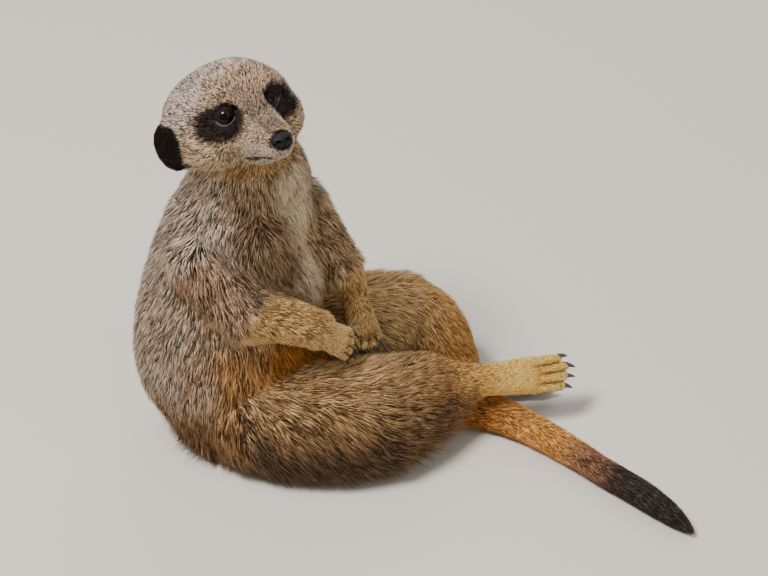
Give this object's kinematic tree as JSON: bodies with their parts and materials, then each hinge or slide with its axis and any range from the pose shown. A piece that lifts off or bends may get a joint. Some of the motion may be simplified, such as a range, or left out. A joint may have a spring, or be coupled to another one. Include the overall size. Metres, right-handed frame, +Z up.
{
  "type": "sitting meerkat, life-size still model",
  "caption": "Life-size still model of a meerkat that sits on its rump with its hind legs stretched forward, its forepaws in its lap and its head turned and raised",
  "frame": {"origin": "on the floor, in the middle of the flat that the rump sits on", "axes": "+Z up, away from the floor; +X the way the hind legs and the tail point, which is the longest extent; +Y the animal's left"},
  "size_m": [0.2826, 0.1528, 0.2213],
  "materials": {
    "coat": "fur, grizzled brown and grey",
    "tail_coat": "short orange-brown fur with a black tip",
    "dark_skin": "bare or thinly haired dark skin",
    "eye": "wet, clear cornea over a dark brown iris",
    "claw": "dark horn, slightly polished"
  },
  "bodies": {
    "root": {"head": "coat", "neck": "coat", "trunk": "coat", "right_upper_arm": "coat", "right_forearm": "coat", "right_forepaw": "coat", "left_upper_arm": "coat", "left_forearm": "coat", "left_forepaw": "coat", "right_thigh": "coat", "right_shank": "coat", "right_hind_foot": "coat", "left_thigh": "coat", "left_shank": "coat", "left_hind_foot": "coat", "tail_base": "tail_coat", "tail_middle": "tail_coat", "tail_tip": "tail_coat", "ear_right": "dark_skin", "ear_left": "dark_skin", "nose": "dark_skin", "eye_right": "eye", "eye_left": "eye", "right_forepaw_claw_1": "claw", "right_forepaw_claw_2": "claw", "right_forepaw_claw_3": "claw", "right_forepaw_claw_4": "claw", "left_forepaw_claw_1": "claw", "left_forepaw_claw_2": "claw", "left_forepaw_claw_3": "claw", "left_forepaw_claw_4": "claw", "right_hind_foot_claw_1": "claw", "right_hind_foot_claw_2": "claw", "right_hind_foot_claw_3": "claw", "right_hind_foot_claw_4": "claw", "left_hind_foot_claw_1": "claw", "left_hind_foot_claw_2": "claw", "left_hind_foot_claw_3": "claw", "left_hind_foot_claw_4": "claw"}
  },
  "joints": []
}
